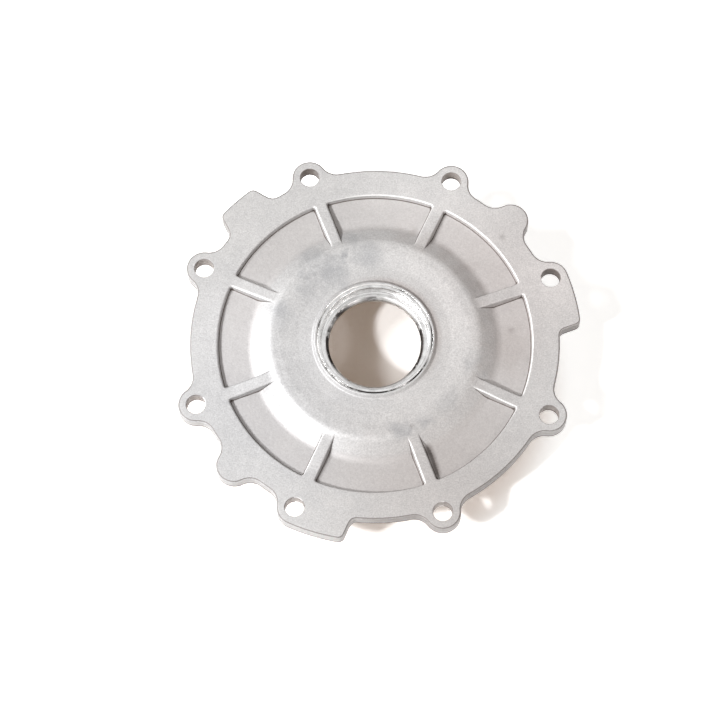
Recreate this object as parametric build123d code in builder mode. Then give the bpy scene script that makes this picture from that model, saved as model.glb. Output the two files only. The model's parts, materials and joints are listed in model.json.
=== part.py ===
from build123d import *

import math
import os

# Bearing housing: one aluminium casting, in millimetres and degrees.
# The origin is on the bore's axis in the face that bolts to the case; +Z points to the outside.
# Radii build outwards from the shaft opening, and heights from the mounting face.

# Shaft opening, seal seat and machined lip
shaft_opening_radius = 21.5
shaft_opening_chamfer = 1.3
seal_ledge_width = 3.5
seal_seat_depth = 5.9
seal_seat_chamfer = 0.4
lip_wall = 2.8
lip_height = 1.5
lip_wall_run = 1.3
lip_foot_chamfer = 0.8

# Bearing seat and the boss round it
bearing_seat_step = 12.5
bearing_seat_depth = 18.0
bearing_shoulder_thickness = 4.0
boss_mouth_relief = 2.0
boss_mouth_depth = 7.6
boss_wall = 8.0
boss_draft_angle = 2.0
boss_edge_chamfer = 0.8

# Dome with a shallow dish round the lip, and the cone that carries it
dish_land = 6.1
dish_depth = 1.0
crown_land = 4.6
dome_overhang = 6.6
dome_rise = 3.0
cone_run = 9.3
cone_fillet = 6.3
cone_wall = 4.4
recess_roof_wall = 5.0
recess_chamfer = 1.6

# Pockets and ribs
pocket_width = 15.3
pocket_depth = 3.0
pocket_draft_angle = 8.0
pocket_corner_radius = 1.2
pocket_edge_chamfer = 0.4
rib_width = 5.6
rib_draft_angle = 9.0
rib_level_run = 4.0
rib_bend_radius = 30.0
rib_crest_drop = 1.25

# Flange, register ring and bolts
flange_thickness = 7.4
flange_edge_chamfer = 0.5
register_land = 5.8
register_wall = 5.0
register_height = 4.0
register_chamfer = 0.6
bolt_land = 9.0
bolt_count = 8
bolt_hole_radius = 4.5
bolt_hole_chamfer = 0.5
ear_wall = 3.8
ear_foot_fillet = 8.0
rim_inset = 2.0

# Key tab, side tabs and plain lobes round the rim, placed by angle and by bolt pitches
key_tab_angle = 135.0
key_tab_half_angle = 6.1
key_tab_flank_angle = 22.0
key_tab_foot_fillet = 5.0
side_ear_pitch_count = 2.5
side_tab_angle = 15.6
side_tab_flank_angle = 15.0
side_tab_foot_fillet = 3.5
tab_corner_radius = 3.0
lobe_pitch_count = 2

# Radii that follow
seal_seat_radius = shaft_opening_radius + seal_ledge_width
lip_outer_radius = seal_seat_radius + lip_wall
lip_foot_radius = lip_outer_radius + lip_wall_run
bearing_seat_radius = shaft_opening_radius + bearing_seat_step
boss_mouth_radius = bearing_seat_radius + boss_mouth_relief
boss_end_radius = bearing_seat_radius + boss_wall
cone_top_radius = boss_end_radius + dome_overhang
cone_foot_radius = cone_top_radius + cone_run
dish_inner_radius = lip_foot_radius + dish_land
dish_outer_radius = cone_top_radius - crown_land
pocket_outer_radius = cone_foot_radius + pocket_width
pocket_floor_radius = pocket_outer_radius - pocket_depth * math.tan(math.radians(pocket_draft_angle))
register_outer_radius = pocket_outer_radius + register_land
register_inner_radius = register_outer_radius - register_wall
bolt_circle_radius = register_outer_radius + bolt_land
ear_radius = bolt_hole_radius + ear_wall
rim_radius = bolt_circle_radius - rim_inset
reach_radius = bolt_circle_radius + ear_radius

# Heights that follow
pocket_floor = flange_thickness - pocket_depth
pocket_middle = flange_thickness - pocket_depth / 2
crown_height = flange_thickness + dome_rise
dish_height = crown_height - dish_depth
lip_top = dish_height + lip_height
ledge_height = lip_top - seal_seat_depth
bearing_shoulder = ledge_height - bearing_shoulder_thickness
bearing_seat_end = bearing_shoulder - bearing_seat_depth
boss_end = bearing_seat_end - boss_mouth_depth
recess_roof = dish_height - recess_roof_wall

# Angles that follow
bolt_pitch_angle = 360 / bolt_count
first_bolt_angle = key_tab_angle + bolt_pitch_angle / 2
cone_angle = math.atan2(crown_height - pocket_floor, cone_run)

# Edges are picked to this closeness
closeness = 0.05


def polar(radius, angle):
    """Point at a radius and an angle about the bore."""
    return Vector(radius, 0).rotate(Axis.Z, angle)


def boss_side(height):
    """Radius of the boss's drafted side at a height."""
    return boss_end_radius + (height - boss_end) * math.tan(math.radians(boss_draft_angle))


def cone_underside(height):
    """Radius of the cone's underside, which runs one wall below its outside."""
    outside = cone_foot_radius - (height - pocket_floor) / math.tan(cone_angle)
    return outside - cone_wall / math.sin(cone_angle)


def nearest_vertex(sketch, point):
    """The vertex of a sketch that lies nearest to a point."""
    return sketch.vertices().sort_by_distance(point)[0]


def middle_of(edge):
    """Radius, height and distance from the nearest rib's centre line of an edge's middle."""
    middle = edge.position_at(0.5)
    radius = math.hypot(middle.X, middle.Y)
    turn = math.degrees(math.atan2(middle.Y, middle.X)) - first_bolt_angle
    from_rib = (turn + bolt_pitch_angle / 2) % bolt_pitch_angle - bolt_pitch_angle / 2
    return radius, middle.Z, abs(radius * math.sin(math.radians(from_rib)))


class Flank:
    """Side of a tab at an angle; a positive lean takes its root to larger angles."""

    def __init__(self, angle, lean, foot_fillet=0):
        inward = polar(-1, angle - lean)
        depth = reach_radius - rim_radius
        self.angle = angle
        self.foot_fillet = foot_fillet
        self.tip = polar(reach_radius, angle)
        self.foot = self.tip + inward * (depth / math.cos(math.radians(lean)))
        self.root = self.tip + inward * (depth + ear_radius)


# The key tab stands alone; each side tab runs on from the middle of an ear
tabs = [
    (
        Flank(key_tab_angle - key_tab_half_angle, -key_tab_flank_angle, key_tab_foot_fillet),
        Flank(key_tab_angle + key_tab_half_angle, key_tab_flank_angle, key_tab_foot_fillet),
    )
]
for side in (-1, 1):
    ear_angle = key_tab_angle + side * side_ear_pitch_count * bolt_pitch_angle
    end_angle = ear_angle + side * side_tab_angle
    tabs.append((Flank(ear_angle, 0), Flank(end_angle, side * side_tab_flank_angle, side_tab_foot_fillet)))

# A rib's crest runs level from the pocket's wall, then climbs towards the crown
rib_bend = pocket_outer_radius - rib_level_run
rib_slope = (dome_rise - rib_crest_drop) / (rib_bend - cone_top_radius)
rib_inner_end = cone_top_radius - cone_fillet / 2
rib_outer_end = pocket_outer_radius + register_land / 2

with BuildPart() as rib:
    with BuildSketch(Plane.XZ) as rib_side:
        with BuildLine():
            Polyline(
                (rib_inner_end, pocket_floor / 2),
                (rib_inner_end, flange_thickness + rib_slope * (rib_bend - rib_inner_end)),
                (rib_bend, flange_thickness),
                (rib_outer_end, flange_thickness),
                (rib_outer_end, pocket_floor / 2),
                close=True,
            )
        make_face()
        fillet(nearest_vertex(rib_side, (rib_bend, flange_thickness)), rib_bend_radius)
    extrude(amount=rib_width / 2, both=True)
    draft(rib.faces().filter_by(Axis.Y), Plane.XY.offset(flange_thickness), rib_draft_angle)

with BuildPart() as housing:
    # Rim with its bolt ears and plain lobes, all rounded into the rim circle
    with BuildSketch() as outline:
        with PolarLocations(0, 1, start_angle=first_bolt_angle):
            Circle(rim_radius)
        with PolarLocations(bolt_circle_radius, bolt_count, start_angle=first_bolt_angle):
            Circle(ear_radius)
        for side in (-1, 1):
            lobe_angle = key_tab_angle + side * lobe_pitch_count * bolt_pitch_angle
            with PolarLocations(bolt_circle_radius, 1, start_angle=lobe_angle):
                Circle(ear_radius)
        on_rim = outline.vertices().filter_by(lambda v: abs(Vector(*v).length - rim_radius) < closeness)
        fillet(on_rim, ear_foot_fillet)
        # Tabs that reach as far as the ears, from a start flank to an end flank
        for start, end in tabs:
            with BuildLine():
                CenterArc((0, 0), reach_radius, start.angle, end.angle - start.angle)
                Polyline(end.tip, end.root, start.root, start.tip)
            make_face()
        for tab in tabs:
            for flank in tab:
                if flank.foot_fillet:
                    fillet(nearest_vertex(outline, flank.tip), tab_corner_radius)
                    fillet(nearest_vertex(outline, flank.foot), flank.foot_fillet)
        Circle(register_outer_radius, mode=Mode.SUBTRACT)
    extrude(amount=flange_thickness)
    top_edges = housing.edges().group_by(Axis.Z)[-1]
    rim_edges = top_edges.filter_by(lambda edge: middle_of(edge)[0] > rim_radius - closeness)
    chamfer(rim_edges, flange_edge_chamfer)

    # Web, cone, dome, lip and bearing boss, turned about the bore while still solid
    with BuildSketch(Plane.XZ) as turned:
        with BuildLine():
            Polyline(
                (0, boss_end),
                (0, lip_top),
                (lip_outer_radius, lip_top),
                (lip_foot_radius, dish_height),
                (dish_inner_radius, dish_height),
                (dish_outer_radius, crown_height),
                (cone_top_radius, crown_height),
                (cone_foot_radius, pocket_floor),
                (pocket_floor_radius, pocket_floor),
                (pocket_outer_radius, flange_thickness),
                (register_outer_radius, flange_thickness),
                (register_outer_radius, -register_height),
                (register_inner_radius, -register_height),
                (register_inner_radius, 0),
                (boss_side(0), 0),
                (boss_end_radius, boss_end),
                close=True,
            )
        make_face()
        fillet(nearest_vertex(turned, (cone_foot_radius, pocket_floor)), cone_fillet)
        fillet(nearest_vertex(turned, (cone_top_radius, crown_height)), cone_fillet)
        chamfer(nearest_vertex(turned, (lip_foot_radius, dish_height)), lip_foot_chamfer)
        chamfer(nearest_vertex(turned, (register_outer_radius, -register_height)), register_chamfer)
        chamfer(nearest_vertex(turned, (boss_end_radius, boss_end)), boss_edge_chamfer)
    revolve(axis=Axis.Z)

    # Ribs in line with the bolts
    with PolarLocations(0, bolt_count, start_angle=first_bolt_angle):
        add(rib.part)

    # Cored recess between the boss and the underside of the cone
    with BuildSketch(Plane.XZ) as recess:
        with BuildLine():
            Polyline(
                (boss_side(0), 0),
                (boss_side(recess_roof), recess_roof),
                (cone_underside(recess_roof), recess_roof),
                (cone_underside(0), 0),
                close=True,
            )
        make_face()
        chamfer(nearest_vertex(recess, (boss_side(recess_roof), recess_roof)), recess_chamfer)
    revolve(axis=Axis.Z, mode=Mode.SUBTRACT)

    # Stepped bore: seal seat, shaft opening, bearing seat and wider mouth
    with BuildSketch(Plane.XZ) as bore:
        with BuildLine():
            Polyline(
                (0, lip_top),
                (seal_seat_radius + seal_seat_chamfer, lip_top),
                (seal_seat_radius, lip_top - seal_seat_chamfer),
                (seal_seat_radius, ledge_height),
                (shaft_opening_radius + shaft_opening_chamfer, ledge_height),
                (shaft_opening_radius, ledge_height - shaft_opening_chamfer),
                (shaft_opening_radius, bearing_shoulder),
                (bearing_seat_radius, bearing_shoulder),
                (bearing_seat_radius, bearing_seat_end),
                (boss_mouth_radius, bearing_seat_end - boss_mouth_relief),
                (boss_mouth_radius, boss_end),
                (0, boss_end),
                close=True,
            )
        make_face()
    revolve(axis=Axis.Z, mode=Mode.SUBTRACT)

    # Upright corners of the pockets, between the outer wall and the ribs
    pocket_corners = ShapeList()
    for edge in housing.edges():
        radius, height, from_rib = middle_of(edge)
        if pocket_floor_radius < radius < pocket_outer_radius and abs(height - pocket_middle) < closeness:
            pocket_corners.append(edge)
    fillet(pocket_corners, pocket_corner_radius)

    # Mouths of the pockets, along the wall, the corners and the crests
    pocket_mouths = ShapeList()
    for edge in housing.edges():
        radius, height, from_rib = middle_of(edge)
        if cone_foot_radius < radius < pocket_outer_radius + closeness and from_rib > closeness:
            if height > flange_thickness - closeness:
                pocket_mouths.append(edge)
    chamfer(pocket_mouths, pocket_edge_chamfer)

    # Bolt holes through the ears, each with a broken outer edge
    with BuildSketch(Plane.XY.offset(flange_thickness)):
        with PolarLocations(bolt_circle_radius, bolt_count, start_angle=first_bolt_angle):
            Circle(bolt_hole_radius)
    extrude(amount=-flange_thickness, mode=Mode.SUBTRACT)
    hole_edges = housing.edges().filter_by(GeomType.CIRCLE)
    hole_edges = hole_edges.filter_by(lambda edge: abs(edge.radius - bolt_hole_radius) < closeness)
    chamfer(hole_edges.group_by(Axis.Z)[-1], bolt_hole_chamfer)

housing.part.label = "housing"
os.makedirs("parts", exist_ok=True)
export_step(housing.part, "parts/housing.step")
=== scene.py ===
import json
from cmath import exp, phase, rect
from math import cos, hypot, pi, radians, sin, sqrt, tan

import bmesh
import bpy
from mathutils import Matrix, Vector


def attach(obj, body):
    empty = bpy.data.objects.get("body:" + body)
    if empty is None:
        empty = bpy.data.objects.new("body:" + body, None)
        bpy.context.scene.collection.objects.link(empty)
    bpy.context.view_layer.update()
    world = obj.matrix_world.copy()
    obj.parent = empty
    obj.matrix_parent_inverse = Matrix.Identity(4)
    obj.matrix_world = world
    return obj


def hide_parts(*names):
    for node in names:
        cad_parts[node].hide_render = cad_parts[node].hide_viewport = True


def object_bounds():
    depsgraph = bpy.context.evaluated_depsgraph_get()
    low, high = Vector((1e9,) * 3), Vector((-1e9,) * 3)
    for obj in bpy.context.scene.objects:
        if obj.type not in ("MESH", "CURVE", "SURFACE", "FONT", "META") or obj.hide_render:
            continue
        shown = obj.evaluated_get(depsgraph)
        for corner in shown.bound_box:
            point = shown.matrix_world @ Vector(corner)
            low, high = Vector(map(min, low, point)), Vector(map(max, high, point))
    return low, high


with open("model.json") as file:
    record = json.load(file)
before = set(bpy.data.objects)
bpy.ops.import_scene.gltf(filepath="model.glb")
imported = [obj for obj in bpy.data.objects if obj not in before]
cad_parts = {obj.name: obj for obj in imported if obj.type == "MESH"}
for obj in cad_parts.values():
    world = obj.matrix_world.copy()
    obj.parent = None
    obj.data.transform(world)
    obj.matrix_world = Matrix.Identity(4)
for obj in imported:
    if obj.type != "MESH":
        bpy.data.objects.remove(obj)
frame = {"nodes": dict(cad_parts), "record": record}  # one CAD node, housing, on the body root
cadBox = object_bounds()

print("frame loaded:", ", ".join(sorted(frame["nodes"])))

mm = 0.001
mounts = {mount["name"]: mount for mount in frame["record"]["mounts"]}


def mountSize(name, size):
    return mounts[name]["dims"][size]


# the casting, in millimetres and degrees; z = 0 is the face that bolts to the case
casting = {
    "lowest": cadBox[0].z / mm,
    "bolts": mountSize("flange_bolts", "count"),
    "boltCircle": mountSize("flange_bolts", "pcd_mm") / 2,  # radius
    "boltHole": mountSize("flange_bolts", "hole_r_mm"),
    "flange": 7.4,
    "firstBolt": 22.5,
    "ear": 8.3,
    "earFoot": 8.0,
    "rim": 86.0,
    "keyTab": 135.0,
    "keyTabHalf": 6.1,
    "keyTabLean": 22.0,
    "keyTabFoot": 5.0,
    "sideEarFromKey": 2.5,  # in bolt pitches
    "lobeFromKey": 2,
    "sideTabTurn": 15.6,
    "sideTabLean": 15.0,
    "sideTabFoot": 3.5,
    "tabCorner": 3.0,
    "register": mountSize("register_ring", "r_mm"),
    "columns": 80,  # from one ear to the next
}


# points on a plane are complex numbers
def polar(radius, angle):
    return rect(radius, radians(angle))


def unit(z):
    return z / abs(z)


def dot(a, b):
    return (a * b.conjugate()).real


def mix(a, b, share):
    return a + (b - a) * share


def eased(share):
    share = min(1, max(0, share))
    return share * share * (3 - 2 * share)


# a line through corners, each as (radius, height, rounding, steps in the rounding, steps before it)
def turnedLine(corners):
    rows = [complex(*corners[0][:2])]
    for before, here, after in zip(corners, corners[1:], corners[2:] + [None]):
        corner = complex(*here[:2])
        radius, arcSteps, runSteps = here[2:]
        if after is None or radius == 0:
            start = corner
        else:
            inward = unit(corner - complex(*before[:2]))
            onward = unit(complex(*after[:2]) - corner)
            turn = phase(onward / inward)
            start = corner - inward * radius * tan(abs(turn) / 2)
        last = rows[-1]
        rows += [mix(last, start, step / runSteps) for step in range(1, runSteps + 1)]
        if start != corner:
            side = 1j if turn > 0 else -1j
            centre = start + inward * side * radius
            for step in range(1, arcSteps + 1):
                rows.append(centre + (start - centre) * exp(1j * turn * step / arcSteps))
    return rows


# the scalloped rim: arcs as (centre, radius, from, to), with flanks or plain rim where they don't meet
def rimArcs(c):
    reach = c["boltCircle"] + c["ear"]
    pitch = 360 / c["bolts"]
    footRing = c["rim"] + c["earFoot"]
    footReach = c["ear"] + c["earFoot"]
    cosine = (footRing**2 + c["boltCircle"] ** 2 - footReach**2) / (2 * footRing * c["boltCircle"])
    spread = phase(complex(cosine, sqrt(1 - cosine**2))) * 180 / pi

    def knob(angle, left=True, right=True):
        centre = polar(c["boltCircle"], angle)
        footBefore = polar(footRing, angle - spread)
        footAfter = polar(footRing, angle + spread)
        arcs = []
        if left:
            arcs.append((footBefore, c["earFoot"], -footBefore, centre - footBefore))
        startWay = footBefore - centre if left else centre
        endWay = footAfter - centre if right else centre
        arcs.append((centre, c["ear"], startWay, endWay))
        if right:
            arcs.append((footAfter, c["earFoot"], centre - footAfter, -footAfter))
        return arcs

    # the centre of a tab's rounding: on a line beside the flank, at ring's distance from the axis
    def resting(tip, way, offset, ring):
        start = tip + offset
        along = dot(start, way)
        return start + way * (sqrt(along**2 - abs(start) ** 2 + ring**2) - along)

    def flank(angle, lean, foot, side):
        tip = polar(reach, angle)
        way = polar(1, angle - side * lean)
        inside = way * -1j * side
        corner = resting(tip, way, inside * c["tabCorner"], reach - c["tabCorner"])
        heel = resting(tip, way, -inside * foot, c["rim"] + foot)
        if side > 0:
            return [(corner, c["tabCorner"], corner, -inside), (heel, foot, inside, -heel)]
        return [(heel, foot, -heel, inside), (corner, c["tabCorner"], -inside, corner)]

    def topArc(first, last):
        return [(0, reach, first, last)]

    halfKey = c["keyTabHalf"]
    arcs = []
    for step in range(2 * c["bolts"]):
        angle = c["firstBolt"] + step * pitch / 2
        fromKey = (angle - c["keyTab"] + 180) % 360 - 180
        ear = step % 2 == 0
        if ear and abs(abs(fromKey) - c["sideEarFromKey"] * pitch) < 1:
            # an ear that runs on into a side tab
            side = 1 if fromKey > 0 else -1
            end = angle + side * c["sideTabTurn"]
            tab = flank(end, c["sideTabLean"], c["sideTabFoot"], side)
            if side > 0:
                arcs += knob(angle, right=False) + topArc(polar(1, angle), tab[0][0]) + tab
            else:
                arcs += tab + topArc(tab[1][0], polar(1, angle)) + knob(angle, left=False)
        elif ear or abs(abs(fromKey) - c["lobeFromKey"] * pitch) < 1:
            # a plain ear, or a lobe between two ears
            arcs += knob(angle)
        elif abs(fromKey) < 1:
            # the key tab
            start = flank(angle - halfKey, c["keyTabLean"], c["keyTabFoot"], -1)
            end = flank(angle + halfKey, c["keyTabLean"], c["keyTabFoot"], 1)
            arcs += start + topArc(start[1][0], end[0][0]) + end
    return arcs


# even points round the rim between neighbouring ear tips, each with its outward normal
def rimPoints(c):
    stepLength, closeEnough = 0.05, 0.01
    path = []

    def walk(radius, centre, startWay, turn):
        steps = max(2, int(abs(turn) * radius / stepLength))
        hollow = turn < 0
        for step in range(steps + 1):
            way = unit(startWay) * exp(1j * turn * step / steps)
            path.append((centre + way * radius, -way if hollow else way))

    def join(end, normal):
        start = path[-1][0]
        steps = int(abs(end - start) / stepLength)
        for step in range(1, steps):
            path.append((mix(start, end, step / steps), normal))

    arcs = rimArcs(c)
    for centre, radius, startWay, endWay in arcs:
        turn = phase(endWay / startWay)
        first = centre + unit(startWay) * radius
        if path:
            gap = first - path[-1][0]
            onRim = all(abs(abs(end) - c["rim"]) < closeEnough for end in (first, path[-1][0]))
            if abs(gap) > stepLength:
                if onRim:
                    walk(c["rim"], 0, path[-1][0], phase(first / path[-1][0]))
                else:
                    join(first, unit(gap) * -1j)
        walk(radius, centre, startWay, turn)
    walk(c["rim"], 0, path[-1][0], phase(path[0][0] / path[-1][0]))

    # lengths along the rim, from the first ear's tip
    start = min(range(len(path)), key=lambda n: abs(path[n][0] - polar(abs(path[n][0]), c["firstBolt"])))
    path = path[start:] + path[: start + 1]
    lengths = [0]
    for a, b in zip(path, path[1:]):
        lengths.append(lengths[-1] + abs(b[0] - a[0]))
    tips = []
    for bolt in range(c["bolts"]):
        way = polar(1, c["firstBolt"] + bolt * 360 / c["bolts"])
        tips.append(min(range(len(path) - 1), key=lambda n: abs(phase(path[n][0] / way))))
    stations = []
    for tip, following in zip(tips, tips[1:] + [len(path) - 1]):
        for column in range(c["columns"]):
            stations.append(mix(lengths[tip], lengths[following], column / c["columns"]))
    points = []
    n = 0
    for station in stations:
        while lengths[n + 1] < station:
            n += 1
        share = (station - lengths[n]) / max(1e-9, lengths[n + 1] - lengths[n])
        (spot, normal), (nextSpot, nextNormal) = path[n : n + 2]
        points.append((mix(spot, nextSpot, share), unit(mix(normal, nextNormal, share))))
    return points


# dome, cone, pocket floor and the lip, as drawn in section
topForm = {
    "ledge": 5.0,
    "lipTop": cadBox[1].z / mm,
    "seat": mountSize("seal_seat", "r_mm"),
    "opening": mountSize("shaft_opening", "r_mm"),
    "openingEdge": 1.3,
    "seatRounding": 0.25,
    "lipInnerEdge": 0.4,
    "lipOuterEdge": 0.35,
    "grooveEdge": 0.08,
    "lipOuter": 27.8,
    "lipGroove": 26.7,
    "lipGrooveWidth": 0.8,
    "lipGrooveDepth": 0.5,
    "lipFoot": 29.1,
    "lipFootRounding": 1.0,
    "lipFootRun": 1.2,
    "turnedShort": 0.3,  # the turned faces end this far from an edge
    "soiledShare": 0.7,  # of the groove's width
    "dish": 9.4,
    "dishStart": 35.4,
    "dishEnd": 43.8,
    "dishRounding": 14.0,
    "crown": 10.4,
    "crownEnd": 46.0,
    "coneTop": 48.6,
    "coneFoot": 57.9,
    "coneRounding": 6.3,
}

pocketForm = {
    "floor": 4.4,
    "wall": 73.2,  # radius of the outer wall at the flange's face
    "draft": 8.5,
    "edge": 0.8,
    "foot": 0.4,
    "corner": 1.2,
    "edgeSteps": 4,
    "wallSteps": 2,
    "footSteps": 3,
    "crestSteps": 3,
    "ribHalf": 2.8,
    "crestRise": 0.085,  # slope of a rib's crest towards the crown
    "crestLevel": 69.2,
    "crestBlend": 0.15,
    "blend": 0.6,
    "leastHeight": 0.9,  # of a wall, where its rib runs into the crown
    "wallFill": 0.95,  # share of a low wall that its roundings may take
    "footCrowding": 0.18,  # draws the columns towards a wall's foot
    "cornerMargin": 0.1,
    "cornerFade": 1.3,
    "evenRun": 3,  # length in which the crown's even columns turn into the ribs' columns
}

rearForm = {
    "registerFoot": 0.3,
    "registerDepth": 4.0,
    "registerEdge": 0.6,
    "registerInner": 74.0,
    "undersideRounding": 1.0,
    "recessRoof": 4.4,
    "roofRounding": 1.5,
    "recessOuter": 56.6,
    "recessInner": 49.8,
    "bossFoot": 43.0,
    "bossFootRounding": 2.0,
    "bossEnd": 42.0,
    "bossEdge": 0.8,
    "mouth": 36.0,
    "mouthEdge": 0.5,
    "mouthDepth": 5.6,
    "seat": mountSize("bearing_seat", "r_mm"),
    "seatEnd": -17.0,
    "shoulder": 1.0,
    "seatRounding": 0.3,
    "openingRounding": 0.2,
    # how far past these edges the turned faces reach
    "turnedRegister": 0.7,
    "turnedBoss": 0.2,
    "turnedMouth": 0.4,
}

rimForm = {
    "innerSteps": 5,
    "ringSteps": 13,
    "edge": 0.75,
    "edgeSteps": 4,
    "lowEdge": 0.35,
    "lowSteps": 2,
}

castSkin, turnedSkin, darkReflectionAndShadeSkin, holeSkin = 0, 1, 2, 3  # the materials in their order on the piece


# a pocket's side in section: points as (offset into the pocket, drop), from the crest to the floor
def wallSection(height):
    p = pocketForm
    draft = radians(p["draft"])
    turn = pi / 2 - draft
    roundings = (p["edge"] + p["foot"]) * tan(turn / 2)
    fit = min(1, height / cos(draft) / roundings * p["wallFill"])
    edge = p["edge"] * fit
    foot = p["foot"] * fit
    edgeRun = edge * tan(turn / 2)
    footRun = foot * tan(turn / 2)
    heel = height * tan(draft)
    section = []
    for step in range(p["edgeSteps"] + 1):
        a = turn * step / p["edgeSteps"]
        section.append((-edgeRun + edge * sin(a), edge - edge * cos(a)))
    low = []
    for step in range(p["footSteps"] + 1):
        a = turn * (1 - step / p["footSteps"])
        low.append((heel + footRun - foot * sin(a), height - foot + foot * cos(a)))
    edgeEnd, footStart = section[-1], low[0]
    for step in range(1, p["wallSteps"]):
        share = step / p["wallSteps"]
        section.append((mix(edgeEnd[0], footStart[0], share), mix(edgeEnd[1], footStart[1], share)))
    return section + low


# the greater of two heights, rounded over where they are nearly the same
def softMax(a, b, blend):
    if blend == 0:
        return max(a, b)
    return max(a, b) + max(blend - abs(a - b), 0) ** 2 / (4 * blend)


def crestHeight(radius):
    p = pocketForm
    rise = p["crestRise"] * (p["crestLevel"] - radius)
    return casting["flange"] + softMax(0, rise, p["crestBlend"])


# half a pitch of the ribbed ring: (across, height) from the middle of a rib to the middle of a pocket
def ribbedHalfRow(radius, floor, base, blend):
    p = pocketForm
    halfPitch = pi / casting["bolts"]
    halfColumns = casting["columns"] // 2
    crest = crestHeight(radius)
    top = softMax(crest, floor, blend)
    height = max(crest - base, p["leastHeight"])
    section = wallSection(height)
    ribHalf = p["ribHalf"] + (casting["flange"] - max(crest, floor)) * tan(radians(p["draft"]))
    points = []
    for step in range(p["crestSteps"]):
        points.append([(ribHalf + section[0][0]) * step / p["crestSteps"], top])
    for offset, drop in section:
        points.append([ribHalf + offset, max(floor, top - drop / height * (top - base))])
    footAngle = points[-1][0] / radius
    left = halfColumns + 1 - len(points)
    for step in range(1, left + 1):
        share = step / left
        angle = mix(footAngle, halfPitch, share + p["footCrowding"] * share * (share - 1))
        points.append([radius * sin(angle), floor])
    return points


# rounds the grid's square corners where a rib meets the outer wall
def roundCorner(across, radius, across0, radius0, reach):
    a = across0 - across
    b = radius - radius0
    if a <= 0 or b <= 0:
        return across, radius
    big = max(a, b)
    turn = pi / 4 * (b / a) if a >= b else pi / 2 - pi / 4 * (a / b)
    keep = 1 - eased((big - reach) / pocketForm["cornerFade"])
    return mix(across, across0 - big * cos(turn), keep), mix(radius, radius0 + big * sin(turn), keep)


# the same all the way round, with its columns drawn towards even angles by evenShare
def ribbedRow(radius, floor, base, blend, evenShare):
    p = pocketForm
    section = wallSection(casting["flange"] - p["floor"])
    middle = (section[0][0] + section[-1][0]) / 2
    across0 = p["ribHalf"] + middle + p["corner"]
    radius0 = p["wall"] - middle - p["corner"]
    reach = p["corner"] + middle - section[0][0] + p["cornerMargin"]
    half = []
    halfColumns = casting["columns"] // 2
    for column, (across, height) in enumerate(ribbedHalfRow(radius, floor, base, blend)):
        across, away = roundCorner(across, radius, across0, radius0, reach)
        angle = phase(complex(sqrt(away**2 - across**2), across))
        even = pi / casting["bolts"] * column / halfColumns
        half.append((away, mix(angle, even, evenShare), height))
    row = []
    for bolt in range(casting["bolts"]):
        middleWay = radians(casting["firstBolt"] + bolt * 360 / casting["bolts"])
        nextWay = middleWay + 2 * pi / casting["bolts"]
        for away, angle, height in half[:-1]:
            row.append((rect(away, middleWay + angle), height))
        for away, angle, height in half[:0:-1]:
            row.append((rect(away, nextWay - angle), height))
    return row


def evenRow(radius, height, count):
    start = radians(casting["firstBolt"])
    return [(rect(radius, start + 2 * pi * n / count), height) for n in range(count)]


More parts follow.
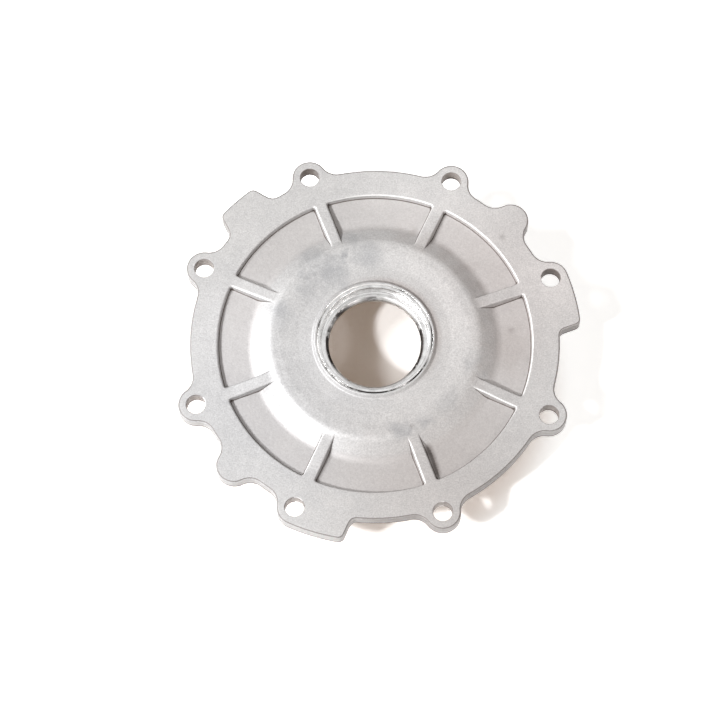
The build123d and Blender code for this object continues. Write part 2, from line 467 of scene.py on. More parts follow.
# the loop of rows from the shaft opening over the top, down the rim and back through the rear
def housingRows():
    c, t, p, r, e = casting, topForm, pocketForm, rearForm, rimForm
    fine = c["bolts"] * c["columns"]
    coarse = fine // 2
    rows = []  # (points, finish)

    def addEven(line, finish, count=coarse):
        for point in line:
            rows.append((evenRow(point.real, point.imag, count), finish))

    openingTop = (t["opening"] + t["openingEdge"], t["ledge"])
    groove, grooveHalf = t["lipGroove"], t["lipGrooveWidth"] / 2
    afterLip = t["lipFoot"] + t["lipFootRun"]
    lip = turnedLine([
        (*openingTop, 0, 0, 0),
        (t["seat"], t["ledge"], t["seatRounding"], 2, 3),
        (t["seat"], t["lipTop"], t["lipInnerEdge"], 4, 4),
        (groove - grooveHalf, t["lipTop"], t["grooveEdge"], 2, 2),
        (groove, t["lipTop"] - t["lipGrooveDepth"], t["grooveEdge"], 2, 1),
        (groove + grooveHalf, t["lipTop"], t["grooveEdge"], 2, 1),
        (t["lipOuter"], t["lipTop"], t["lipOuterEdge"], 4, 2),
        (t["lipFoot"], t["dish"], t["lipFootRounding"], 4, 2),
        (afterLip, t["dish"], 0, 0, 1),
    ])
    for point in lip:
        onTop = point.real < t["lipOuter"] - t["turnedShort"]
        # the groove's bottom gets the darkened finish: painted shade
        inGroove = abs(point.real - groove) < grooveHalf * t["soiledShare"]
        addEven([point], darkReflectionAndShadeSkin if inGroove else turnedSkin if onTop else castSkin)
    dome = turnedLine([
        (afterLip, t["dish"], 0, 0, 0),
        (t["dishStart"], t["dish"], t["dishRounding"], 3, 3),
        (t["dishEnd"], t["crown"], t["dishRounding"], 3, 4),
        (t["crownEnd"], t["crown"], 0, 0, 1),
    ])
    addEven(dome[1:], castSkin)

    # ribbed ring
    section = wallSection(c["flange"] - p["floor"])
    pocketStart = p["wall"] - section[-1][0]
    slope = turnedLine([
        (t["crownEnd"], t["crown"], 0, 0, 0),
        (t["coneTop"], t["crown"], t["coneRounding"], 6, 1),
        (t["coneFoot"], p["floor"], t["coneRounding"], 6, 5),
        (pocketStart, p["floor"], 0, 0, 9),
    ])
    for point in slope[1:]:
        even = 1 - eased((point.real - t["crownEnd"]) / p["evenRun"])
        rows.append((ribbedRow(point.real, point.imag, point.imag, p["blend"], even), castSkin))
    for offset, drop in section[-2::-1]:
        rows.append((ribbedRow(p["wall"] - offset, c["flange"] - drop, p["floor"], 0, 0), castSkin))
    beyondWall = p["wall"] - section[0][0]
    for step in range(1, e["innerSteps"] + 1):
        share = step / e["innerSteps"]
        radius = mix(beyondWall, c["register"], share)
        rows.append((ribbedRow(radius, c["flange"], p["floor"], 0, eased(share)), castSkin))

    # flange out to the rim
    rim = rimPoints(c)
    edge, lowEdge = e["edge"], e["lowEdge"]
    inner = [point for point, height in evenRow(c["register"], 0, fine)]
    flat = []
    for step in range(1, e["ringSteps"] + 1):
        share = step / e["ringSteps"]
        flat.append([mix(a, b - normal * edge, share) for a, (b, normal) in zip(inner, rim)])
    for ring in flat:
        rows.append(([(point, c["flange"]) for point in ring], castSkin))

    def addRim(out, height):
        rows.append(([(point + normal * out, height) for point, normal in rim], castSkin))

    for step in range(1, e["edgeSteps"] + 1):
        a = pi / 2 * step / e["edgeSteps"]
        addRim(edge * (sin(a) - 1), c["flange"] - edge * (1 - cos(a)))
    addRim(0, mix(lowEdge, c["flange"] - edge, 0.5))
    addRim(0, lowEdge)
    for step in range(1, e["lowSteps"] + 1):
        a = pi / 2 * step / e["lowSteps"]
        addRim(lowEdge * (cos(a) - 1), lowEdge * (1 - sin(a)))
    for ring in flat[::-1]:
        rows.append(([(point, 0) for point in ring], turnedSkin))

    # rear, from the register ring to the shaft opening; its first and last points aren't used
    rear = turnedLine([
        (c["rim"], 0, 0, 0, 0),
        (c["register"], 0, r["registerFoot"], 2, 1),
        (c["register"], -r["registerDepth"], r["registerEdge"], 2, 2),
        (r["registerInner"], -r["registerDepth"], r["registerEdge"], 3, 2),
        (r["registerInner"], 0, r["undersideRounding"], 3, 1),
        (r["recessOuter"], 0, r["undersideRounding"], 2, 8),
        (r["recessInner"], r["recessRoof"], r["roofRounding"], 3, 3),
        (r["bossFoot"], r["recessRoof"], r["bossFootRounding"], 4, 3),
        (r["bossEnd"], c["lowest"], r["bossEdge"], 3, 8),
        (r["mouth"], c["lowest"], r["mouthEdge"], 3, 3),
        (r["mouth"], c["lowest"] + r["mouthDepth"], 0, 0, 2),
        (r["seat"], r["seatEnd"], r["seatRounding"], 2, 2),
        (r["seat"], r["shoulder"], r["seatRounding"], 2, 5),
        (t["opening"], r["shoulder"], r["seatRounding"], 2, 5),
        (t["opening"], t["ledge"] - t["openingEdge"], r["openingRounding"], 1, 2),
        (*openingTop, 0, 0, 3),
    ])
    for point in rear[1:-1]:
        onRegister = point.real > r["registerInner"] + r["turnedRegister"]
        onBoss = point.imag < c["lowest"] + r["turnedBoss"] or point.real < r["mouth"] + r["turnedMouth"]
        onEdge = point.imag > t["ledge"] - t["openingEdge"] - t["turnedShort"]
        plainSkin = turnedSkin if onRegister or onBoss else castSkin
        # the opening's edge gets the darkened finish: painted shade and dark reflection
        addEven([point], darkReflectionAndShadeSkin if onEdge and onBoss else plainSkin)
    return rows


def addPoint(mesh, point, height):
    return mesh.verts.new((point.real * mm, point.imag * mm, height * mm))


# joins two rings of points with faces; one ring may have half as many points as the other
def bridge(mesh, lower, upper, finish):
    if len(lower) < len(upper):
        for n in range(len(lower)):
            a, b = lower[n], lower[(n + 1) % len(lower)]
            c, d, e = upper[2 * n], upper[2 * n + 1], upper[(2 * n + 2) % len(upper)]
            for face in [(a, c, d), (a, d, b), (b, d, e)]:
                mesh.faces.new(face).material_index = finish
    elif len(lower) > len(upper):
        for n in range(len(upper)):
            a, b = upper[n], upper[(n + 1) % len(upper)]
            c, d, e = lower[2 * n], lower[2 * n + 1], lower[(2 * n + 2) % len(lower)]
            for face in [(a, c, d), (a, d, b), (b, d, e)]:
                mesh.faces.new(face[::-1]).material_index = finish
    else:
        for n in range(len(lower)):
            following = (n + 1) % len(lower)
            face = mesh.faces.new((lower[n], upper[n], upper[following], lower[following]))
            face.material_index = finish


# bolt holes: the grid opens round each one, and rings run from the face through the flange
boltHoleForm = {
    "clear": 1.6,  # from the hole to the grid
    "margin": 0.25,
    "topEdge": 0.25,
    "topSteps": 3,
    "lowEdge": 0.3,
    "wallShares": (0.65, 0.35),  # heights of the rings between, as shares of the flange
    "evenings": 12,
    "closeEnough": 0.01,
}


def cutBoltHole(mesh, centre, flange, radius):
    h = boltHoleForm

    def openGrid(height):
        found = []
        for face in mesh.faces:
            middle = face.calc_center_median()
            if abs(middle.z / mm - height) < h["closeEnough"]:
                if hypot(middle.x / mm - centre.real, middle.y / mm - centre.imag) < radius + h["clear"]:
                    found.append(face)
        corners = list(dict.fromkeys(corner for face in found for corner in face.verts))
        edges = list(dict.fromkeys(edge for face in found for edge in face.edges))
        bmesh.ops.delete(mesh, geom=found, context="FACES_ONLY")
        for edge in edges:
            if not edge.link_faces:
                mesh.edges.remove(edge)
        for corner in corners:
            if not corner.link_edges:
                mesh.verts.remove(corner)
        border = [corner for corner in corners if corner.is_valid]
        loop = [min(border, key=turnOf)]
        while len(loop) < 2 or loop[-1] is not loop[0]:
            onward = []
            for edge in loop[-1].link_edges:
                neighbour = edge.other_vert(loop[-1])
                if len(edge.link_faces) == 1 and (len(loop) < 2 or neighbour is not loop[-2]):
                    onward.append(neighbour)
            loop.append(min(onward, key=turnOf))
        spin = sum(phase(spoke(after) / spoke(before)) for before, after in zip(loop, loop[1:]))
        return loop[:-1] if spin > 0 else loop[:0:-1]

    def spoke(corner):
        return complex(corner.co.x / mm, corner.co.y / mm) - centre

    def turnOf(corner):
        return phase(spoke(corner))

    topLoop = openGrid(flange)
    lowLoop = openGrid(0)
    count = len(topLoop)
    turns = [turnOf(corner) for corner in topLoop]
    for n in range(1, count):
        turns[n] += 2 * pi * round((turns[n - 1] - turns[n]) / (2 * pi))
    for evening in range(h["evenings"]):
        longer = [turns[-1] - 2 * pi, *turns, turns[0] + 2 * pi]
        trios = zip(longer, longer[1:], longer[2:])
        turns = [(before + 2 * here + after) / 4 for before, here, after in trios]
    line = [(radius + h["topEdge"] + h["margin"], flange)]
    for step in range(h["topSteps"] + 1):
        a = pi / 2 * step / h["topSteps"]
        line.append((radius + h["topEdge"] * (1 - sin(a)), flange - h["topEdge"] * (1 - cos(a))))
    line += [(radius, flange * share) for share in h["wallShares"]]
    line += [(radius, h["lowEdge"]), (radius + h["lowEdge"], 0), (radius + h["lowEdge"] + h["margin"], 0)]
    previous = topLoop
    for away, height in line:
        belowEdge = height < flange - h["topEdge"] - h["closeEnough"]
        onWall = belowEdge and away < radius + h["closeEnough"]
        ring = [addPoint(mesh, centre + rect(away, turn), height) for turn in turns]
        bridge(mesh, ring, previous, holeSkin if onWall else castSkin)
        previous = ring
    bridge(mesh, lowLoop, previous, turnedSkin)


# keeps with each point how far its neighbours rise above it: more in a crease, less on an edge
def markBends(mesh):
    bend = mesh.verts.layers.float.new("bend")
    mesh.normal_update()
    for corner in mesh.verts:
        rise = 0
        for edge in corner.link_edges:
            way = edge.other_vert(corner).co - corner.co
            rise += way.normalized().dot(corner.normal)
        corner[bend] = rise / len(corner.link_edges)


def buildHousing():
    mesh = bmesh.new()
    rows = housingRows()
    rings = []
    for points, finish in rows:
        rings.append([addPoint(mesh, point, height) for point, height in points])
    for n in range(len(rings)):
        following = (n + 1) % len(rings)
        finish = max(rows[n][1], rows[following][1])
        bridge(mesh, rings[n], rings[following], finish)
    mesh.verts.index_update()
    for bolt in range(casting["bolts"]):
        centre = polar(casting["boltCircle"], casting["firstBolt"] + bolt * 360 / casting["bolts"])
        cutBoltHole(mesh, centre, casting["flange"], casting["boltHole"])
    for face in mesh.faces:
        face.smooth = True
    markBends(mesh)
    data = bpy.data.meshes.new("castHousing")
    mesh.to_mesh(data)
    mesh.free()
    piece = bpy.data.objects.new("castHousing", data)
    bpy.context.scene.collection.objects.link(piece)
    weighted = piece.modifiers.new("evenFaces", "WEIGHTED_NORMAL")
    weighted.weight = 80  # large faces count for more
    return piece


# material helpers
def newShader(name):
    material = bpy.data.materials.new(name)
    material.use_nodes = True
    tree = material.node_tree
    return material, tree, tree.nodes["Principled BSDF"]


def addNode(tree, kind, inputs=None, **settings):
    node = tree.nodes.new(kind)
    for key, value in settings.items():
        setattr(node, key, value)
    for key, value in (inputs or {}).items():
        if isinstance(value, bpy.types.NodeSocket):
            tree.links.new(value, node.inputs[key])
        else:
            node.inputs[key].default_value = value
    return node


def blendColour(tree, factor, first, second, kind):
    node = tree.nodes.new("ShaderNodeMix")
    node.data_type = "RGBA"
    node.blend_type = kind
    sockets = node.inputs[0], node.inputs[6], node.inputs[7]  # the factor and the two colours
    for socket, value in zip(sockets, (factor, first, second)):
        if isinstance(value, bpy.types.NodeSocket):
            tree.links.new(value, socket)
        else:
            socket.default_value = (*value, 1) if isinstance(value, tuple) else value
    return node.outputs[2]  # the colour


# goes from least at one value to most at another
def fade(tree, value, start, end, most=1.0, least=0.0, kind="LINEAR"):
    span = {"Value": value, "From Min": start, "From Max": end, "To Min": least, "To Max": most}
    return addNode(tree, "ShaderNodeMapRange", span, interpolation_type=kind).outputs["Result"]


# the same between two lengths in mm
def fadeMm(tree, value, start, end, most=1.0, kind="LINEAR"):
    return fade(tree, value, start * mm, end * mm, most, kind=kind)


def maths(tree, operation, a, b, clamp=False):
    node = addNode(tree, "ShaderNodeMath", {0: a, 1: b}, operation=operation, use_clamp=clamp)
    return node.outputs["Value"]


def vectors(tree, operation, result, a, b=None):
    inputs = {0: a} if b is None else {0: a, "Scale" if operation == "SCALE" else 1: b}
    return addNode(tree, "ShaderNodeVectorMath", inputs, operation=operation).outputs[result]


def noise(tree, place, scale, detail, roughness=0.5, result="Fac"):
    values = {"Vector": place, "Scale": scale, "Detail": detail, "Roughness": roughness}
    return addNode(tree, "ShaderNodeTexNoise", values).outputs[result]


def bump(tree, height, strength, depth, normal=None):
    values = {"Height": height, "Strength": strength, "Distance": depth * mm}
    if normal:
        values["Normal"] = normal
    return addNode(tree, "ShaderNodeBump", values).outputs["Normal"]


# rises towards the nearest of some spots; each is a place, a size and a strength
def nearSpots(tree, place, spots, height=0):
    nearest = 0.0
    for spot, size, strength in spots:
        centre = (spot.real * mm, spot.imag * mm, height * mm)
        away = vectors(tree, "DISTANCE", "Value", place, centre)
        near = fade(tree, away, size * mm, 0.0, strength, kind="SMOOTHSTEP")
        nearest = maths(tree, "MAXIMUM", nearest, near)
    return nearest


# two colours at two places
def ramp(tree, source, stops):
    node = addNode(tree, "ShaderNodeValToRGB", {"Fac": source})
    for element, (place, colour) in zip(node.color_ramp.elements, stops):
        element.position = place
        element.color = (*colour, 1)
    return node.outputs["Color"]


castFinish = {
    "metallic": 0.25,
    "specular": 0.3,
    "roughness": (0.3, 0.7, 0.56, 0.44),  # from and to in the mottle, most, least
    # noises: scale, detail, roughness
    "grain": (1500, 2.0, 0.6),
    "mottle": (620, 4.0, 0.6),
    "clouds": (70, 3.0, 0.55),
    "ragged": (140, 3.0, 0.5),
    "cloudShare": 0.45,
    "sand": (0.4, 0.12),  # strength and depth in mm
    "waves": (0.35, 0.25),
    "dull": (0.508, 0.506, 0.507),
    "pale": (0.584, 0.580, 0.577),
    "dullToPale": (0.36, 0.64),
    "speckle": (0.74, 0.735, 0.735),
    "speckleSpan": (0.3, 0.7),
    # painted shade: the pocket floors' darker, warmer colour
    "pocketColour": (0.412, 0.390, 0.383),
    "pocketTone": (6.4, 4.8, 0.5),  # starts and is full at these heights in mm, strength
    "stainTint": (0.64, 0.655, 0.68),
    "paleTint": (1.20, 1.20, 1.20),
    "warmTint": (0.80, 0.765, 0.75),
    "coolTint": (0.985, 0.996, 1.014),
    "pinkTint": (1.02, 0.985, 0.975),
    # dark colour for grime and marks, and for painted shade in creases, along a rib and on the rim
    "grimeColour": (0.075, 0.058, 0.05),
    # worn edges, and painted highlight on edges facing the window
    "rubbedColour": (0.92, 0.92, 0.92),
    "raggedShift": 16,  # mm
    "markShift": 3,
    "stains": [
        # place in mm, size in mm, strength
        (polar(40, 124), 13, 0.75),
        (polar(41, 98), 11, 0.60),
        (polar(39, 145), 9, 0.40),
        (polar(43, 112), 6, 0.80),
        (polar(45, 136), 6, 0.75),
        (polar(46, -74), 8, 0.75),
        (polar(47, -60), 6, 0.55),
        (polar(46, -14), 8, 0.45),
        (polar(46, 166), 9, 0.60),
        (polar(47, -42), 9, 0.35),
        (polar(51, 128), 9, 0.60),
        (polar(52, 104), 9, 0.55),
    ],
    # painted light: broad patches made lighter on the dish's slope, the flange and the rim
    "palePatches": [
        *[(polar(39.6, -172 + 9 * n), 9, 0.50) for n in range(15)],  # the dish's slope
        (polar(33, -60), 16, 0.35),
        (polar(84, 72), 62, 0.75),
        (polar(90, 24), 28, 0.60),
        (polar(68, 175), 38, 0.60),
    ],
    # painted shade: broad warm patches made darker, on the flange's lower right and on the cone's far side
    "warmPatches": [
        (polar(80, -62), 82, 0.78),
        (polar(62, -2), 22, 0.55),
        *[(polar(53.5, -22 + 11 * n), 8, 0.55) for n in range(10)],  # the cone's far side
    ],
    "coolPatches": [(polar(70, -155), 95, 1.0)],
    "pinkPatches": [(polar(80, 25), 85, 1.0)],
    # three small real marks, and painted shade along the side of a rib away from the window
    "marks": [
        (polar(79.4, 42.4), 2.6, 0.24),
        (polar(64.1, 7.3), 2.8, 0.26),
        (polar(45.7, -66.7), 2.2, 0.30),
        *[(polar(57.4 + 1.2 * n, -62.5 - 0.1 * n), 2.7, 0.72) for n in range(11)],  # along a rib
    ],
    # painted shade in patches round the rim's wall
    "rimDirt": [
        (polar(90, -45), 60, 0.65),
        (polar(90, -80), 40, 0.65),
        (polar(92, 20), 50, 0.9),
        (polar(92, 105), 55, 0.6),
        (polar(92, 142), 30, 0.4),
    ],
    # each starts at the first value, is full at the second, and has this strength
    "lipShade": (32.5, 29.0, 1.0),  # mm from the axis
    "lipShadeSide": (-4, -24, 1.0),  # mm towards the window
    # painted shade in the creases; edges worn bright, as painted highlight where they face the window
    "crease": (0.05, 0.105, 0.95),  # bend
    "rubbed": (-0.035, -0.085, 0.75),
    "rubbedTurn": (0.20, 0.36, 1.0),  # how squarely an edge faces the window
    "windowSide": 218,  # degrees from +X
    # heights on the rim's wall in mm
    # painted shade on the rim's wall: a dark line at the bottom and a thin one where the top edge turns
    # down
    "lowLine": (2.3, 0.9, 0.85),
    "dirtSpan": (casting["flange"] - 0.1, casting["flange"] - 0.6, 0.8),
    "edgeLineTop": (casting["flange"], casting["flange"] - 0.02, 1.0),
    "edgeLineEnd": (casting["flange"] - 0.30, casting["flange"] - 0.12, 0.7),
    "rimWidth": 2,  # mm, in from the plain rim
}

# the bolt holes' walls are darker: painted shade inside the holes
holeFinish = dict(castFinish, pale=(0.52, 0.48, 0.46), dull=(0.36, 0.32, 0.30))


def castAluminium(name, f):
    material, tree, shader = newShader(name)
    place = addNode(tree, "ShaderNodeTexCoord").outputs["Object"]
    grain = noise(tree, place, *f["grain"])
    mottle = noise(tree, place, *f["mottle"])
    clouds = noise(tree, place, *f["clouds"])
    cloudy = {"Factor": f["cloudShare"], "A": mottle, "B": clouds}
    blend = addNode(tree, "ShaderNodeMix", cloudy).outputs["Result"]
    colour = ramp(tree, blend, zip(f["dullToPale"], (f["dull"], f["pale"])))
    speckle = ramp(tree, grain, zip(f["speckleSpan"], (f["speckle"], (1, 1, 1))))
    colour = blendColour(tree, 1.0, colour, speckle, "MULTIPLY")
    plain = colour

    # where a point lies and which way it faces
    sides = addNode(tree, "ShaderNodeSeparateXYZ", {"Vector": place}).outputs
    height = sides["Z"]
    flat = addNode(tree, "ShaderNodeCombineXYZ", {"X": sides["X"], "Y": sides["Y"]}).outputs["Vector"]
    outside = vectors(tree, "LENGTH", "Value", flat)
    onRim = maths(tree, "GREATER_THAN", outside, (casting["rim"] - f["rimWidth"]) * mm)
    normal = addNode(tree, "ShaderNodeNewGeometry").outputs["Normal"]
    facing = addNode(tree, "ShaderNodeSeparateXYZ", {"Vector": normal}).outputs["Z"]
    upward = maths(tree, "GREATER_THAN", facing, 0.0)
    window = polar(1, f["windowSide"])
    windowWay = (window.real, window.imag, 0)

    # the place in plan, shifted by noise, for ragged borders
    ragged = noise(tree, place, *f["ragged"], result="Color")
    shift = vectors(tree, "SUBTRACT", "Vector", ragged, (0.5, 0.5, 0.5))

    def shifted(distance):
        return vectors(tree, "ADD", "Vector", flat, vectors(tree, "SCALE", "Vector", shift, distance * mm))

    loose = shifted(f["raggedShift"])

    # pocket floors are a little darker and warmer, as painted shade; stains, faint cool and pink tones,
    # and broad painted light and shade lie over all
    deep = fadeMm(tree, height, *f["pocketTone"])
    colour = blendColour(tree, deep, colour, f["pocketColour"], "MIX")
    for spots, tint in (
        ("stains", "stainTint"),
        ("palePatches", "paleTint"),
        ("warmPatches", "warmTint"),
        ("coolPatches", "coolTint"),
        ("pinkPatches", "pinkTint"),
    ):
        colour = blendColour(tree, nearSpots(tree, loose, f[spots]), colour, f[tint], "MULTIPLY")

    # a soft shade at the lip's foot, on the side away from the window
    lipFoot = fadeMm(tree, outside, *f["lipShade"], kind="SMOOTHSTEP")
    farSide = fadeMm(tree, vectors(tree, "DOT_PRODUCT", "Value", flat, windowWay), *f["lipShadeSide"])
    shade = maths(tree, "MULTIPLY", lipFoot, farSide)
    colour = blendColour(tree, shade, colour, f["warmTint"], "MULTIPLY")

    # small marks, and painted shade along one rib's side
    markedAndShaded = nearSpots(tree, shifted(f["markShift"]), f["marks"])
    colour = blendColour(tree, markedAndShaded, colour, f["grimeColour"], "MIX")
    colour = blendColour(tree, upward, plain, colour, "MIX")  # none of this on what faces down

    # edges worn bright, as a painted highlight on the side that faces the window, and painted shade in the
    # creases
    bend = addNode(tree, "ShaderNodeAttribute", attribute_name="bend").outputs["Fac"]
    rubbed = maths(tree, "SUBTRACT", fade(tree, bend, *f["rubbed"]), onRim, clamp=True)
    towards = vectors(tree, "DOT_PRODUCT", "Value", normal, windowWay)
    rubbed = maths(tree, "MULTIPLY", rubbed, fade(tree, towards, *f["rubbedTurn"]))
    colour = blendColour(tree, rubbed, colour, f["rubbedColour"], "MIX")
    colour = blendColour(tree, fade(tree, bend, *f["crease"]), colour, f["grimeColour"], "MIX")

    # on the rim's wall, painted shade: a dark line at the bottom, darker patches round the rim, and a thin
    # dark line where the edge turns down
    bottomLine = fadeMm(tree, height, *f["lowLine"])
    rimShadePatches = nearSpots(tree, loose, f["rimDirt"])
    rimShadeOnWall = maths(tree, "MULTIPLY", fadeMm(tree, height, *f["dirtSpan"]), rimShadePatches)
    lineTop = fadeMm(tree, height, *f["edgeLineTop"])
    lineEnd = fadeMm(tree, height, *f["edgeLineEnd"])
    edgeLine = maths(tree, "MULTIPLY", lineTop, lineEnd)
    for rimShading in (bottomLine, rimShadeOnWall, edgeLine):
        colour = blendColour(tree, maths(tree, "MULTIPLY", rimShading, onRim), colour, f["grimeColour"], "MIX")
    tree.links.new(colour, shader.inputs["Base Color"])

    tree.links.new(fade(tree, mottle, *f["roughness"]), shader.inputs["Roughness"])
    shader.inputs["Metallic"].default_value = f["metallic"]
    shader.inputs["Specular IOR Level"].default_value = f["specular"]
    waves = bump(tree, mottle, *f["waves"])
    tree.links.new(bump(tree, grain, *f["sand"], waves), shader.inputs["Normal"])
    return material


turnedFinish = {
    "metallic": 1.0,
    "roughness": 0.23,
    "dark": (0.42, 0.41, 0.405),
    "light": (0.80, 0.795, 0.79),
    "darkToLight": (0.35, 0.6),
    "toolMarks": (1700, 3.0, 0.6),
    "wear": (260, 3.0, 0.5),
    "wearShare": 0.4,
    "ridges": (0.35, 0.12),  # strength and depth in mm
}


def turnedAluminium():
    f = turnedFinish
    material, tree, shader = newShader("turnedAluminium")
    place = addNode(tree, "ShaderNodeTexCoord").outputs["Object"]
    sides = addNode(tree, "ShaderNodeSeparateXYZ", {"Vector": place}).outputs
    flat = addNode(tree, "ShaderNodeCombineXYZ", {"X": sides["X"], "Y": sides["Y"]}).outputs["Vector"]
    away = vectors(tree, "LENGTH", "Value", flat)
    section = addNode(tree, "ShaderNodeCombineXYZ", {"X": away, "Y": sides["Z"]}).outputs["Vector"]
    cuts = noise(tree, section, *f["toolMarks"])
    worn = noise(tree, place, *f["wear"])
    mixed = {"Factor": f["wearShare"], "A": cuts, "B": worn}
    shade = addNode(tree, "ShaderNodeMix", mixed).outputs["Result"]
    colour = ramp(tree, shade, zip(f["darkToLight"], (f["dark"], f["light"])))
    tree.links.new(colour, shader.inputs["Base Color"])
    shader.inputs["Metallic"].default_value = f["metallic"]
    shader.inputs["Roughness"].default_value = f["roughness"]
    tree.links.new(bump(tree, cuts, *f["ridges"]), shader.inputs["Normal"])
    return material


# painted darkness: shade in the lip's groove, and shade and a dark reflection in the corner of the shaft
# opening
darkReflectionAndShadeFinish = {
    "metallic": 0.8,
    "roughness": 0.35,
    "bare": (0.66, 0.65, 0.64),
    # dark colour for painted shade and reflection
    "grease": (0.035, 0.03, 0.028),
    "patches": (420, 4.0, 0.65),
    "patchSpan": (0.62, 0.5, 1.0, 0.35),  # from and to in the patches, most, least
    "crust": (0.4, 0.2),  # strength and depth in mm
    # painted shade and dark reflection round the shaft opening's edge
    "openingSmears": [
        # place in mm, size in mm, strength
        (polar(22, -6), 19, 2.2),
        (polar(22, 188), 17, 1.7),
        (polar(22, 140), 13, 1.0),
        (polar(22, 95), 10, 0.8),
    ],
    # painted shade in the lip's groove
    "grooveSmears": [
        (polar(27, -94), 24, 1.6),
        (polar(27, -40), 14, 1.2),
        (polar(27, 4), 13, 1.0),
        (polar(27, 60), 12, 0.9),
        (polar(27, -140), 12, 0.9),
        (polar(27, 165), 12, 0.8),
    ],
}


def soiledEdge():
    f = darkReflectionAndShadeFinish
    material, tree, shader = newShader("soiledEdge")
    place = addNode(tree, "ShaderNodeTexCoord").outputs["Object"]
    height = addNode(tree, "ShaderNodeSeparateXYZ", {"Vector": place}).outputs["Z"]
    patches = noise(tree, place, *f["patches"])
    shadeSpots = {
        "Factor": maths(tree, "GREATER_THAN", height, topForm["dish"] * mm),
        "A": nearSpots(tree, place, f["openingSmears"], topForm["ledge"]),
        "B": nearSpots(tree, place, f["grooveSmears"], topForm["lipTop"]),
    }
    shadeMask = addNode(tree, "ShaderNodeMix", shadeSpots).outputs["Result"]
    share = maths(tree, "MULTIPLY", shadeMask, fade(tree, patches, *f["patchSpan"]), clamp=True)
    colour = blendColour(tree, share, f["bare"], f["grease"], "MIX")
    tree.links.new(colour, shader.inputs["Base Color"])
    shader.inputs["Metallic"].default_value = f["metallic"]
    shader.inputs["Roughness"].default_value = f["roughness"]
    tree.links.new(bump(tree, patches, *f["crust"]), shader.inputs["Normal"])
    return material


housing = buildHousing()
housing.data.materials.append(castAluminium("castAluminium", castFinish))
housing.data.materials.append(turnedAluminium())
housing.data.materials.append(soiledEdge())
housing.data.materials.append(castAluminium("boltHoles", holeFinish))
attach(housing, "root")
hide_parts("housing")
print("housing built:", len(housing.data.vertices), "points", len(housing.data.polygons), "faces")

# floor, camera and lamps
studio = {
    "floorSize": 6.0,
    "floorColour": (0.93, 0.925, 0.92),
    "floorRoughness": 0.9,
    # painted shade on the floor: its glow is dimmer and warmer under and beside the casting, and brighter
    # farther off, where it washes out the cast shadow
    "boreGlow": (0.08, 0.037, 0.006),  # under the casting
    "nearGlow": (0.288, 0.240, 0.207),  # beside it
    "farGlow": (0.66, 0.67, 0.67),
    "boreGlowShare": 0.7,  # of the way out to the register ring
    "nearCentre": polar(12, 215),
    "nearReach": 84,  # mm
    "farStart": 104,
    "skyColour": (1.0, 0.88, 0.79),
    "horizon": 0.20,
    "zenith": 0.24,
    "aim": (-0.00646, -0.00976, 0.0074),
    "distance": 1.1578,
    "azimuth": 4.57,
    "elevation": 70.708,
    "roll": -2.687,
    "lens": 125.0,
    "sensor": 36.0,
    "farClip": 20.0,
    "lamps": [
        # name, azimuth from +X, elevation, distance, size, watts, colour
        ("windowLamp", 218, 48, 2.0, 0.16, 35.5, (1.0, 1.0, 1.0)),
        ("sideLamp", 184.5, 50, 2.0, 0.40, 20.0, (1.0, 1.0, 1.0)),
        ("fillLamp", -15, 42, 2.0, 0.13, 5.4, (1.0, 0.96, 0.93)),
        # these two are seen only in the casting's shine
        ("leftCard", 160, 25, 2.0, 0.80, 24.0, (1.0, 1.0, 1.0)),
        ("rightCard", -46, 38, 2.0, 0.50, 6.5, (1.0, 0.97, 0.95)),
    ],
}


def around(azimuth, elevation):
    a, e = radians(azimuth), radians(elevation)
    return Vector((cos(a) * cos(e), sin(a) * cos(e), sin(e)))


# 1 for rays from the camera, also by way of a shine or a clear thing
def seenRays(tree):
    rays = addNode(tree, "ShaderNodeLightPath").outputs
    seen = maths(tree, "MAXIMUM", rays["Is Camera Ray"], rays["Is Glossy Ray"])
    return maths(tree, "MAXIMUM", seen, rays["Is Transmission Ray"])


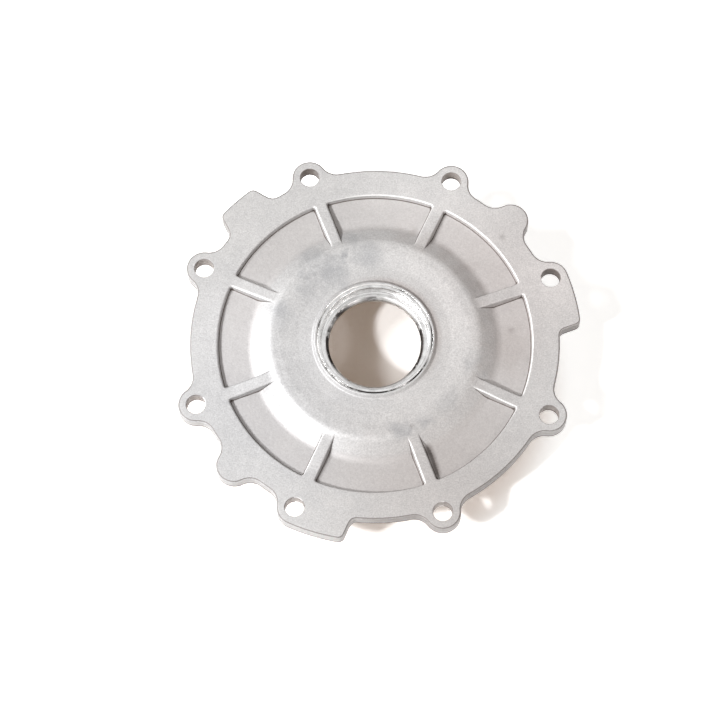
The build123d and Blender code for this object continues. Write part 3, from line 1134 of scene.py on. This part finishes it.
def buildFloor():
    data = bpy.data.meshes.new("floor")
    half = studio["floorSize"] / 2
    height = casting["lowest"] * mm
    corners = [(-half, -half, height), (half, -half, height), (half, half, height), (-half, half, height)]
    data.from_pydata(corners, [], [(0, 1, 2, 3)])
    floor = bpy.data.objects.new("floor", data)
    bpy.context.scene.collection.objects.link(floor)
    material, tree, shader = newShader("palePaper")
    shader.inputs["Base Color"].default_value = (*studio["floorColour"], 1)
    shader.inputs["Roughness"].default_value = studio["floorRoughness"]
    place = addNode(tree, "ShaderNodeTexCoord").outputs["Object"]
    away = vectors(tree, "DISTANCE", "Value", place, (0, 0, height))
    ring = casting["register"] * mm
    openFloor = fade(tree, away, ring * studio["boreGlowShare"], ring, kind="SMOOTHSTEP")
    centre = studio["nearCentre"] * mm
    beside = vectors(tree, "DISTANCE", "Value", place, (centre.real, centre.imag, height))
    farFloor = fadeMm(tree, beside, studio["nearReach"], studio["farStart"], kind="SMOOTHSTEP")
    # painted shade: the glow is dim under the casting, a shadow tone beside it, and bright farther off
    tint = blendColour(tree, openFloor, studio["boreGlow"], studio["nearGlow"], "MIX")
    tint = blendColour(tree, farFloor, tint, studio["farGlow"], "MIX")
    tree.links.new(tint, shader.inputs["Emission Color"])
    tree.links.new(seenRays(tree), shader.inputs["Emission Strength"])
    data.materials.append(material)


def buildLamps():
    for name, azimuth, elevation, distance, size, watts, colour in studio["lamps"]:
        lamp = bpy.data.lights.new(name, "AREA")
        lamp.shape = "DISK"
        lamp.size = size
        lamp.energy = watts
        lamp.color = colour
        holder = bpy.data.objects.new(name, lamp)
        way = around(azimuth, elevation)
        holder.location = way * distance
        holder.rotation_euler = way.to_track_quat("Z", "Y").to_euler()
        holder.visible_diffuse = not name.endswith("Card")
        bpy.context.scene.collection.objects.link(holder)
    world = bpy.data.worlds.new("paleRoom")
    world.use_nodes = True
    tree = world.node_tree
    background = tree.nodes["Background"]
    way = addNode(tree, "ShaderNodeTexCoord").outputs["Generated"]
    height = addNode(tree, "ShaderNodeSeparateXYZ", {"Vector": way}).outputs["Z"]
    sky = fade(tree, height, 0.0, 1.0, studio["zenith"], studio["horizon"])
    seen = seenRays(tree)
    tree.links.new(maths(tree, "MAXIMUM", sky, seen), background.inputs["Strength"])
    tint = blendColour(tree, seen, studio["skyColour"], (1.0, 1.0, 1.0), "MIX")
    tree.links.new(tint, background.inputs["Color"])
    bpy.context.scene.world = world


def buildCamera():
    lens = bpy.data.cameras.new("camera")
    lens.lens = studio["lens"]
    lens.sensor_width = studio["sensor"]
    lens.clip_end = studio["farClip"]
    camera = bpy.data.objects.new("camera", lens)
    way = around(studio["azimuth"] - 90, studio["elevation"])
    turn = way.to_track_quat("Z", "Y").to_matrix() @ Matrix.Rotation(radians(studio["roll"]), 3, "Z")
    stand = Vector(studio["aim"]) + way * studio["distance"]
    camera.matrix_world = Matrix.Translation(stand) @ turn.to_4x4()
    bpy.context.scene.collection.objects.link(camera)
    bpy.context.scene.camera = camera


buildFloor()
buildLamps()
buildCamera()
bpy.context.scene.view_settings.view_transform = "Standard"
print("floor, lamps and camera placed")
